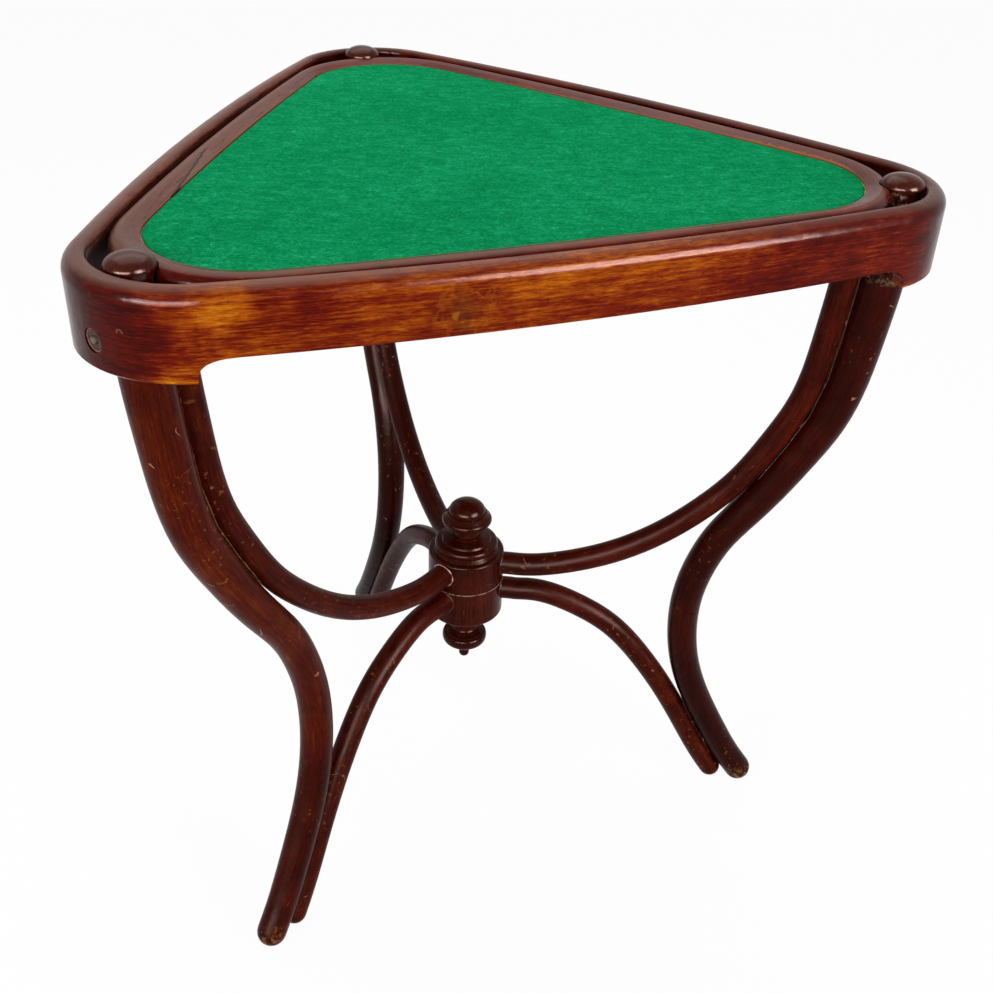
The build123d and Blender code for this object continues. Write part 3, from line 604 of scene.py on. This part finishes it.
# Painted highlight: a lighter band along the rounded lower edge of the ears.
lower_edge_highlight = work.product(work.span(z, *lower_edge_highlight_height), work.span(turn, 0.02, 0.12), lower_edge_highlight_lift)
lift = work.math("ADD", lift, work.math("ADD", shoulder, lower_edge_highlight))
lift = work.math("SUBTRACT", lift, work.product(work.span(x, *right_end), right_darkening))
lift = work.math("SUBTRACT", lift, work.product(work.span(x, *left_end), left_darkening))
lift = work.math("SUBTRACT", lift, work.product(work.math("SUBTRACT", 1.0, front), back_darkening))
grain = (x, y, z, depth)
colour, rough, normal = stained_beech(
    work, grain, hoop_stain, lift, contrast=0.85, gloss_rough=0.19, wear=0.15, scratches=0.05
)
ragged = work.math("SUBTRACT", work.noise(work.place, 75.0, 4.0, 0.6), 0.5)
across = work.math("DIVIDE", work.math("SUBTRACT", x, water_stain_place[0]), water_stain_size[0])
upward = work.math("DIVIDE", work.math("SUBTRACT", z, water_stain_place[1]), water_stain_size[1])
stain = work.math("MULTIPLY_ADD", ragged, 3.0, work.length(across, upward))
stain_edge = work.product(work.span(stain, 1.30, 1.12), work.span(stain, 0.90, 1.08), front, 0.26)
colour = work.layer(stain_edge, colour, water_stain_edge)
stain = work.product(work.span(stain, 1.15, 0.35, 0.0, 0.62), front)
colour = work.layer(stain, colour, water_stain_dark)
across = work.math("SUBTRACT", x, amber_spot_place[0])
upward = work.math("SUBTRACT", z, amber_spot_place[1])
spot = work.math("MULTIPLY_ADD", ragged, 0.018, work.length(across, upward))
spot = work.product(work.span(spot, *amber_spot_size, 0.0, 0.6), front)
colour = work.layer(spot, colour, amber_spot_colour)
# Painted glint: a pale half ring on the upper lip of a small nick in the front left ear.
away = [work.math("SUBTRACT", place, at) for place, at in zip((x, y, z), ear_nick_place)]
ring = work.math("ABSOLUTE", work.math("SUBTRACT", work.length(*away), ear_nick_radius))
above = work.math("GREATER_THAN", away[2], ear_nick_foot)
nick_glint = work.product(work.span(ring, *ear_nick_line), above, 0.25)
colour = work.layer(nick_glint, colour, painted_nick_glint)
chip = work.span(work.noise(work.place, 160.0, 3.0, 0.6), 0.62, 0.66)
chip = work.product(chip, work.span(depth, *chip_depth), work.span(z, *chip_height))
colour = work.layer(chip, colour, chip_dark)
# Dust and painted sheen: a greyish-brown bloom along the top edge and streaked on the back left side.
top_edge = work.product(work.span(z, *dust_and_sheen_height), work.span(x, *dust_and_sheen_reach, *dust_and_sheen_shares))
back_left = work.product(work.span(x, *back_dust_and_sheen_reach), work.span(y, *back_dust_and_sheen_y), 0.72)
back_left = work.product(back_left, work.span(z, *back_dust_and_sheen_height))
dust_and_sheen = paint_dust_and_sheen(work, grain, cloud, top_edge, back_left)
colour = work.layer(dust_and_sheen, colour, dust_and_sheen_brown)
# Painted shade: the inner face darkens towards the bottom of the gap between hoop and rim, and is rougher
# there.
gap_shade = work.product(work.span(depth, *gap_shade_depth), work.span(z, *gap_shade_height))
colour = work.layer(gap_shade, colour, painted_gap_shade)
rough = work.math("MULTIPLY_ADD", stain, 0.18, rough)
rough = work.math("MULTIPLY_ADD", dust_and_sheen, 0.20, work.math("MULTIPLY_ADD", gap_shade, 0.5, rough))
nodes["apron_hoop"].data.materials[0] = work.finish(colour, rough, normal, **hoop_varnish)


# Corner knobs: mushroom heads turned from beech on short stems, dowelled into
# the leg heads. They locate the notched top and are polished by hands, with a
# rubbed bloom on the crown. The right one's stem has cracked, pale varnish.
knob_reach = 0.3725
knob_varnish = {"IOR": 1.21, "Specular_Tint": (1.0, 0.72, 0.64, 1.0)}
crown_height = (0.7430, 0.7485)
crown_brown = (0.120, 0.050, 0.030)
stem_crack_place = (0.3120, -0.2668)
stem_crack_size = (0.0150, 0.0080)
stem_crack_height = (0.7370, 0.7330)
stem_crack_pale = (0.420, 0.250, 0.160)

for name, corner in corners.items():
    work = Finish("knob_beech_" + name)
    turn = radians(corner)
    centre = hub_axis + Vector((cos(turn), sin(turn), 0)) * knob_reach
    grain = turned_grain(work, centre)
    colour, rough, normal = stained_beech(
        work, grain, hub_stain, -0.04, contrast=0.5, gloss_rough=0.19, wear=0.3, scratches=0.3
    )
    crown = work.product(work.span(grain[0], *crown_height), 0.08)
    colour = work.layer(crown, colour, crown_brown)
    if name == "right":
        x, y, z = work.parts(work.place)
        past_x = work.math("SUBTRACT", x, stem_crack_place[0])
        past_y = work.math("SUBTRACT", y, stem_crack_place[1])
        near = work.span(work.length(past_x, past_y), *stem_crack_size)
        crack = work.span(work.noise(work.place, 260.0, 5.0, 0.7), 0.50, 0.60)
        crack = work.product(crack, near, work.span(z, *stem_crack_height))
        colour = work.layer(crack, colour, stem_crack_pale)
    nodes["knob_" + name].data.materials[0] = work.finish(colour, rough, normal, **knob_varnish)


# Top rim: a bent beech hoop with a rounded outside, sloped in to the felt. Same
# stain as the outer hoop, worn to bare wood in a ragged line beside the felt.
# The scarf that closes its hoop shows as a slanting crack on the back left.
rim_corner = (0.366, 0.108, 0.244)
worn_place = (0.294, -0.066)
worn_fade = (0.090, 0.030)
worn_width = (0.0017, 0.0085)
worn_depth = 0.0240
worn_height = (0.7300, 0.7330)
bare_wood = (0.260, 0.095, 0.030)
rim_dust_and_sheen_height = (0.7360, 0.7379)
rim_dust_and_sheen_reach = (0.10, -0.24)
rim_back_dust_and_sheen_reach = (-0.05, -0.16)
rim_dust_and_sheen_brown = (0.145, 0.072, 0.048)
scarf_start = Vector((-0.2270, 0.0665))
scarf_end = Vector((-0.2785, -0.0560))
scarf_begin = (-0.004, 0.004)
scarf_finish = (0.136, 0.126)
scarf_wander = 0.004
scarf_crack_width = (0.0012, 0.0004)
scarf_crack_dark = (0.016, 0.004, 0.002)
beside_scarf_width = 0.012
beside_scarf_brown = (0.170, 0.080, 0.045)

work = Finish("rim_beech")
x, y, z, turn, sideways, depth = hoop_place(work, *rim_corner)
grain = (x, y, z, depth)
colour, rough, normal = stained_beech(
    work, grain, hoop_stain, -0.26, contrast=0.7, gloss_rough=0.20, wear=0.3, scratches=0.1
)
tear = work.noise(work.place, 140.0, 4.0, 0.65)
near = work.length(work.math("SUBTRACT", x, worn_place[0]), work.math("SUBTRACT", y, worn_place[1]))
width = work.span(near, *worn_fade, *worn_width)
limit = work.math("MULTIPLY_ADD", tear, width, worn_depth)
limit = work.math("SUBTRACT", limit, width)
worn = work.product(work.math("GREATER_THAN", depth, limit), work.span(z, *worn_height))
colour = work.layer(work.math("MULTIPLY", worn, 0.75), colour, bare_wood)
# Dust and painted sheen on the top edge and the back left, as on the outer hoop.
cloud = work.noise(work.place, 14.0, 3.0, 0.6)
top_edge = work.product(work.span(z, *rim_dust_and_sheen_height), work.span(x, *rim_dust_and_sheen_reach, *dust_and_sheen_shares))
back_left = work.product(work.span(x, *rim_back_dust_and_sheen_reach), work.span(y, *back_dust_and_sheen_y), 0.70)
dust_and_sheen = paint_dust_and_sheen(work, grain, cloud, top_edge, back_left)
colour = work.layer(dust_and_sheen, colour, rim_dust_and_sheen_brown)
along = (scarf_end - scarf_start).normalized()
past_x = work.math("SUBTRACT", x, scarf_start.x)
past_y = work.math("SUBTRACT", y, scarf_start.y)
run = work.math("MULTIPLY_ADD", past_x, along.x, work.math("MULTIPLY", past_y, along.y))
off = work.math("MULTIPLY_ADD", past_x, -along.y, work.math("MULTIPLY", past_y, along.x))
off = work.math("MULTIPLY_ADD", work.math("SUBTRACT", tear, 0.5), scarf_wander, off)
within = work.product(work.span(run, *scarf_begin), work.span(run, *scarf_finish))
crack = work.product(work.span(work.math("ABSOLUTE", off), *scarf_crack_width), within)
beside = work.span(off, 0.0, beside_scarf_width, 0.55, 0.0)
beside = work.product(beside, work.math("GREATER_THAN", off, 0.0), within)
colour = work.layer(beside, colour, beside_scarf_brown)
colour = work.layer(crack, colour, scarf_crack_dark)
rough = work.math("MULTIPLY_ADD", worn, 0.35, work.math("MULTIPLY_ADD", dust_and_sheen, 0.3, rough))
normal = work.relief(work.math("MULTIPLY", crack, -1.0), 0.0006, 0.8, normal)
nodes["top_rim"].data.materials[0] = work.finish(colour, rough, normal, **hoop_varnish)


# Board, ledges and dowels: plain beech and pine, hidden in the finished table,
# sawn and left unstained, with the grain along each strip.
board_wood = (
    (0.1, (0.25, 0.135, 0.060)),
    (0.5, (0.40, 0.235, 0.115)),
    (0.9, (0.55, 0.360, 0.200)),
)
ledge_sides = {"back_left": 150, "front": 270, "back_right": 30}


def plain_wood(piece, turn):
    """Bare wood with its grain along a strip that faces the given way."""
    work = Finish(piece + "_wood")
    x, y, z = work.parts(work.place)
    along = work.math("SUBTRACT", work.math("MULTIPLY", y, cos(turn)), work.math("MULTIPLY", x, sin(turn)))
    across = work.math("ADD", work.math("MULTIPLY", x, cos(turn)), work.math("MULTIPLY", y, sin(turn)))
    grain = (along, 0.0, across, z)
    streak = grain_noise(work, grain, 9, 240, 4, 0.6)
    fine = grain_noise(work, grain, 60, 1200, 2)
    tone = work.math("MULTIPLY_ADD", streak, 1.1, -0.2)
    tone = work.math("MULTIPLY_ADD", fine, 0.3, tone, clamp=True)
    colour = work.ramp(tone, board_wood)
    rough = work.math("MULTIPLY_ADD", fine, 0.2, 0.6)
    nodes[piece].data.materials[0] = work.finish(colour, rough, work.relief(fine, 0.0003, 0.7))


for piece in ("top_board", "upper_dowels", "lower_dowels"):
    plain_wood(piece, -pi / 2)
for name, side in ledge_sides.items():
    plain_wood("ledge_" + name, radians(side))


# Fasteners: blackened iron bolts with a raised ring and a button head through
# each ear, stained over with the wood and rubbed bright on the rings, their
# washers and nuts inside, and plain steel screws in the ledges.
bolt_height = 0.694
bolt_ring_inside = (0.0076, 0.0084)
bolt_ring_outside = (0.0098, 0.0092)
bolt_button = (0.0036, 0.0018)
iron_colours = ((0.35, (0.022, 0.006, 0.004)), (0.65, (0.070, 0.028, 0.018)))
rubbed_iron = (0.240, 0.130, 0.098)
steel_colours = ((0.35, (0.22, 0.20, 0.17)), (0.65, (0.50, 0.48, 0.44)))

work = Finish("bolt_iron")
x, y, z, turn, sideways, depth = hoop_place(work, *hoop_corner)
tarnish = work.noise(work.place, 320.0, 4.0, 0.6)
away = work.length(sideways, work.math("SUBTRACT", z, bolt_height))
ring = work.product(work.span(away, *bolt_ring_inside), work.span(away, *bolt_ring_outside))
button = work.product(work.span(away, *bolt_button), 0.7)
rubbed = work.math("MAXIMUM", ring, button)
rubbed = work.product(rubbed, work.span(tarnish, 0.34, 0.56, 0.25, 0.9))
colour = work.layer(rubbed, work.ramp(tarnish, iron_colours), rubbed_iron)
rough = work.math("MULTIPLY_ADD", tarnish, 0.3, 0.36)
normal = work.relief(work.math("ADD", tarnish, ring), 0.0006, 0.7)
nodes["corner_bolts"].data.materials[0] = work.finish(colour, rough, normal, IOR=1.25)
for piece in ("corner_washers", "corner_nuts", "ledge_screws"):
    work = Finish(piece + "_steel")
    tarnish = work.noise(work.place, 320.0, 4.0, 0.6)
    colour = work.ramp(tarnish, steel_colours)
    rough = work.math("MULTIPLY_ADD", tarnish, 0.3, 0.28)
    normal = work.relief(tarnish, 0.0002, 0.6)
    nodes[piece].data.materials[0] = work.finish(colour, rough, normal, Metallic=0.9)


# Baize: green woollen cloth glued over the board and cut by hand a little short
# of the rim, so its edge wanders. The nap is brushed one way, and short loose
# fibres and pale lint lie on it.
felt_corner = (0.3423, 0.0848, 0.2194)
felt_top = 0.7340
felt_foot = 0.7328
felt_rings = (0.0, 0.15, 0.30, 0.45, 0.60, 0.72, 0.82, 0.90, 0.95, 0.975, 0.988, 0.994, 0.9975)
cut_inset = 0.0004
cut_wander = 0.0009
cut_waves = (70, 260)
ripple_height = 0.00010
ripple_waves = 18
nap_turn = radians(-20)
strand_cells = (300, 700)
clump_cells = (60, 130)
nap_green = (
    (0.18, (0.0020, 0.1750, 0.0560)),
    (0.50, (0.0050, 0.2480, 0.0830)),
    (0.74, (0.0120, 0.3350, 0.1330)),
    (1.00, (0.0400, 0.4600, 0.2300)),
)
fibre_bend = (0.0011, 0.0007, 0.0002)
fibre_tip = (0.0026, 0.0, 0.0)
fibre_spread = {"Density": 5500.0, "Thickness": 0.00008, "Seed": 7}
lint_colours = ((0.40, (0.015, 0.330, 0.130)), (0.64, (0.110, 0.480, 0.260)))


def triangle_outline(reach, radius, side, arc_steps, side_steps):
    """Points round a triangle with round corners and bowed sides, about the hub axis."""
    out = reach - radius
    inset = side - radius
    beyond = (out**2 - inset**2) / (2 * inset - out)
    points = []
    for corner in corners.values():
        turn = radians(corner)
        middle = turn + pi / 3
        centre = Vector((cos(turn), sin(turn))) * out
        toward = centre + Vector((cos(turn - pi / 3), sin(turn - pi / 3))) * beyond
        away = centre + Vector((cos(middle), sin(middle))) * beyond
        first = atan2(toward.y, toward.x)
        sweep = (atan2(away.y, away.x) - first) % (2 * pi)
        for step in range(arc_steps):
            angle = first + sweep * step / arc_steps
            points.append(centre + Vector((cos(angle), sin(angle))) * radius)
        far = Vector((cos(middle), sin(middle))) * -beyond
        join = centre + away.normalized() * radius - far
        spread = (middle - atan2(join.y, join.x) + pi) % (2 * pi) - pi
        for step in range(side_steps):
            angle = middle + spread * (2 * step / side_steps - 1)
            points.append(far + Vector((cos(angle), sin(angle))) * (side + beyond))
    return points


outline = []
for point in triangle_outline(*felt_corner, arc_steps=44, side_steps=90):
    wander = noise.noise((point.x * cut_waves[0], point.y * cut_waves[0], 3.0))
    wander += 0.6 * noise.noise((point.x * cut_waves[1], point.y * cut_waves[1], 9.0))
    inset = cut_inset + cut_wander * max(0.0, 0.35 + wander)
    outline.append(point * (1 - inset / point.length))
vertices = [hub_axis + Vector((0, 0, felt_top))]
for share in felt_rings[1:] + (1.0,):
    for point in outline:
        x, y = point * share
        ripple = ripple_height * noise.noise((x * ripple_waves, y * ripple_waves, 1.0))
        height = felt_foot if share == 1.0 else felt_top + ripple
        vertices.append((x, y + hub_axis.y, height))
count = len(outline)
faces = [(0, 1 + index, 1 + (index + 1) % count) for index in range(count)]
for ring in range(len(felt_rings) - 1):
    start = 1 + ring * count
    for index in range(count):
        following = (index + 1) % count
        faces.append((start + index, start + count + index, start + count + following, start + following))
cloth_mesh = bpy.data.meshes.new("baize_cloth")
cloth_mesh.from_pydata(vertices, [], faces)
cloth_mesh.polygons.foreach_set("use_smooth", [True] * len(faces))
cloth = bpy.data.objects.new("baize_cloth", cloth_mesh)
bpy.context.scene.collection.objects.link(cloth)

work = Finish("baize_wool")
turned = work.node(
    "ShaderNodeMapping", {"Vector": work.place, "Rotation": (0, 0, -nap_turn)}, vector_type="POINT"
).outputs[0]
x, y, z = work.parts(turned)
strand = work.triple(work.product(x, strand_cells[0]), work.product(y, strand_cells[1]), z)
strand = work.noise(strand, 1.0, 4.0, 0.65)
clump = work.triple(work.product(x, clump_cells[0]), work.product(y, clump_cells[1]), z)
clump = work.noise(clump, 1.0, 3.0, 0.6)
fibre = work.noise(work.place, 950.0, 2.0, 0.6)
shade = work.noise(work.place, 7.0, 3.0, 0.5)
tone = 0.45
for nap, weight in ((strand, 1.8), (clump, 0.8), (fibre, 1.2), (shade, 0.35)):
    tone = work.math("MULTIPLY_ADD", work.math("SUBTRACT", nap, 0.5), weight, tone)
colour = work.ramp(tone, nap_green)
rough = work.math("MULTIPLY_ADD", fibre, 0.1, 0.88)
normal = work.relief(work.math("ADD", strand, fibre), 0.0007, 0.6)
wool = work.finish(colour, rough, normal, Specular_IOR_Level=0.0)
cloth_mesh.materials.append(wool)


def fibre_tree(add, given):
    """Short bent fibres lying loose on a cloth."""
    scatter = add(
        "GeometryNodeDistributePointsOnFaces",
        {"Mesh": given["Geometry"], "Density": given["Density"], "Seed": given["Seed"]},
    )[0]
    hair = add(
        "GeometryNodeCurveQuadraticBezier",
        {"Resolution": 5, "Start": (0, 0, 0), "Middle": fibre_bend, "End": fibre_tip},
    )[0]
    circle = add("GeometryNodeCurvePrimitiveCircle", {"Resolution": 3, "Radius": given["Thickness"]})[0]
    hair = add("GeometryNodeCurveToMesh", {"Curve": hair, "Profile Curve": circle})[0]
    turn = add("FunctionNodeRandomValue", {2: 0.0, 3: 2 * pi, "Seed": given["Seed"]})
    turn = add("ShaderNodeCombineXYZ", {"Z": turn[1]})[0]
    turn = add("FunctionNodeEulerToRotation", {0: turn})[0]
    size = add("FunctionNodeRandomValue", {2: 0.4, 3: 1.3, "Seed": given["Seed"]})
    return add(
        "GeometryNodeInstanceOnPoints",
        {"Points": scatter, "Instance": hair, "Rotation": turn, "Scale": size[1]},
    )[0]


work = Finish("baize_lint")
tint = work.noise(work.place, 130.0, 2.0)
colour = work.ramp(tint, lint_colours)
rough = work.math("ADD", tint, 0.4)
lint = work.finish(colour, rough, work.relief(tint, 0.0002, 0.3), Specular_IOR_Level=0.1)
fibres = grow("baize_fibres", cloth, fibre_spread, fibre_tree, lint)

for index in range(count):
    here, following = outline[index], outline[(index + 1) % count]
width = max(point.x for point in outline) - min(point.x for point in outline)
for piece in (cloth, fibres):
    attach(piece, "top")
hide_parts("baize")


# Studio: a pale floor that keeps the table's shadow, a white surround, two low
# softboxes, one large lamp overhead and two cards that show only as highlights
# in the varnish. The camera stands where the photograph was taken from.
under_top = (0, 0, 0.65)
floor_half = 14
floor_drop = -0.0004
floor_grey = (0.86, 0.86, 0.86, 1)
floor_white = 0.96
surround_level = 0.35


def lamp(name, place, aim, width, height, power, only_mirrored=False):
    """A flat lamp turned to a point. One that is only mirrored shows in gloss and lights nothing."""
    light = bpy.data.lights.new(name, "AREA")
    light.shape = "RECTANGLE"
    light.size = width
    light.size_y = height
    light.energy = power
    holder = bpy.data.objects.new(name, light)
    bpy.context.scene.collection.objects.link(holder)
    holder.location = place
    holder.rotation_euler = (Vector(aim) - Vector(place)).to_track_quat("-Z", "Y").to_euler()
    holder.visible_diffuse = not only_mirrored


lamp("softbox_left", (-1.95, -1.15, 1.22), under_top, 0.75, 0.22, 22)
lamp("softbox_right", (1.05, -2.05, 1.18), under_top, 1.10, 0.22, 30)
lamp("overhead", (0.0, 0.90, 2.60), (0, -0.1, 0.6), 2.4, 2.0, 40)
lamp("card_left", (-2.56, -2.99, 1.80), (-0.31, -0.31, 0.73), 3.6, 1.2, 850, only_mirrored=True)
lamp("card_right", (1.80, -3.39, 2.10), (0.10, -0.33, 0.73), 2.0, 2.0, 800, only_mirrored=True)

floor_mesh = bpy.data.meshes.new("floor")
floor_corners = []
for x, y in ((-1, -1), (1, -1), (1, 1), (-1, 1)):
    floor_corners.append((x * floor_half, y * floor_half, floor_drop))
floor_mesh.from_pydata(floor_corners, [], [(0, 1, 2, 3)])
floor = bpy.data.objects.new("floor", floor_mesh)
bpy.context.scene.collection.objects.link(floor)


def seen_directly(tree):
    """1 for rays from the camera, from reflections and through glass, otherwise 0."""
    rays = tree.nodes.new("ShaderNodeLightPath")
    total = rays.outputs["Is Camera Ray"]
    for label in ("Is Glossy Ray", "Is Transmission Ray"):
        either = tree.nodes.new("ShaderNodeMath")
        either.operation = "MAXIMUM"
        tree.links.new(total, either.inputs[0])
        tree.links.new(rays.outputs[label], either.inputs[1])
        total = either.outputs[0]
    return total


def backdrop(tree, output_kind, lit, white, share):
    """Mixes a lit surface with plain white where it is seen directly."""
    scaled = tree.nodes.new("ShaderNodeMath")
    scaled.operation = "MULTIPLY"
    tree.links.new(seen_directly(tree), scaled.inputs[0])
    scaled.inputs[1].default_value = share
    mixed = tree.nodes.new("ShaderNodeMixShader")
    tree.links.new(scaled.outputs[0], mixed.inputs[0])
    tree.links.new(lit.outputs[0], mixed.inputs[1])
    tree.links.new(white.outputs[0], mixed.inputs[2])
    tree.links.new(mixed.outputs[0], tree.nodes.new(output_kind).inputs[0])


paper = bpy.data.materials.new("floor_paper")
paper.use_nodes = True
tree = paper.node_tree
tree.nodes.clear()
lit = tree.nodes.new("ShaderNodeBsdfDiffuse")
lit.inputs["Color"].default_value = floor_grey
white = tree.nodes.new("ShaderNodeEmission")
white.inputs["Strength"].default_value = 1.0
backdrop(tree, "ShaderNodeOutputMaterial", lit, white, floor_white)
floor_mesh.materials.append(paper)

scene = bpy.context.scene
world = bpy.data.worlds.new("surround")
scene.world = world
world.use_nodes = True
tree = world.node_tree
tree.nodes.clear()
dim = tree.nodes.new("ShaderNodeBackground")
dim.inputs["Strength"].default_value = surround_level
bright = tree.nodes.new("ShaderNodeBackground")
bright.inputs["Color"].default_value = (1, 1, 1, 1)
backdrop(tree, "ShaderNodeOutputWorld", dim, bright, 1.0)

camera_place = (-0.38059, -1.08645, 1.06452)
heading = 0.39
dip = -0.56768
roll = 0.0398
look = Vector((cos(dip) * sin(heading), cos(dip) * cos(heading), sin(dip)))
level_right = look.cross(Vector((0, 0, 1))).normalized()
level_up = level_right.cross(look)
right = level_right * cos(roll) + level_up * sin(roll)
up = level_up * cos(roll) - level_right * sin(roll)
camera = bpy.data.cameras.new("camera")
camera.sensor_width = 36
camera.lens = 44.17
camera.shift_x = -0.0030
camera.shift_y = -0.0011
holder = bpy.data.objects.new("camera", camera)
scene.collection.objects.link(holder)
holder.matrix_world = Matrix.Translation(camera_place) @ Matrix((right, up, -look)).transposed().to_4x4()
scene.camera = holder
scene.view_settings.view_transform = "Standard"
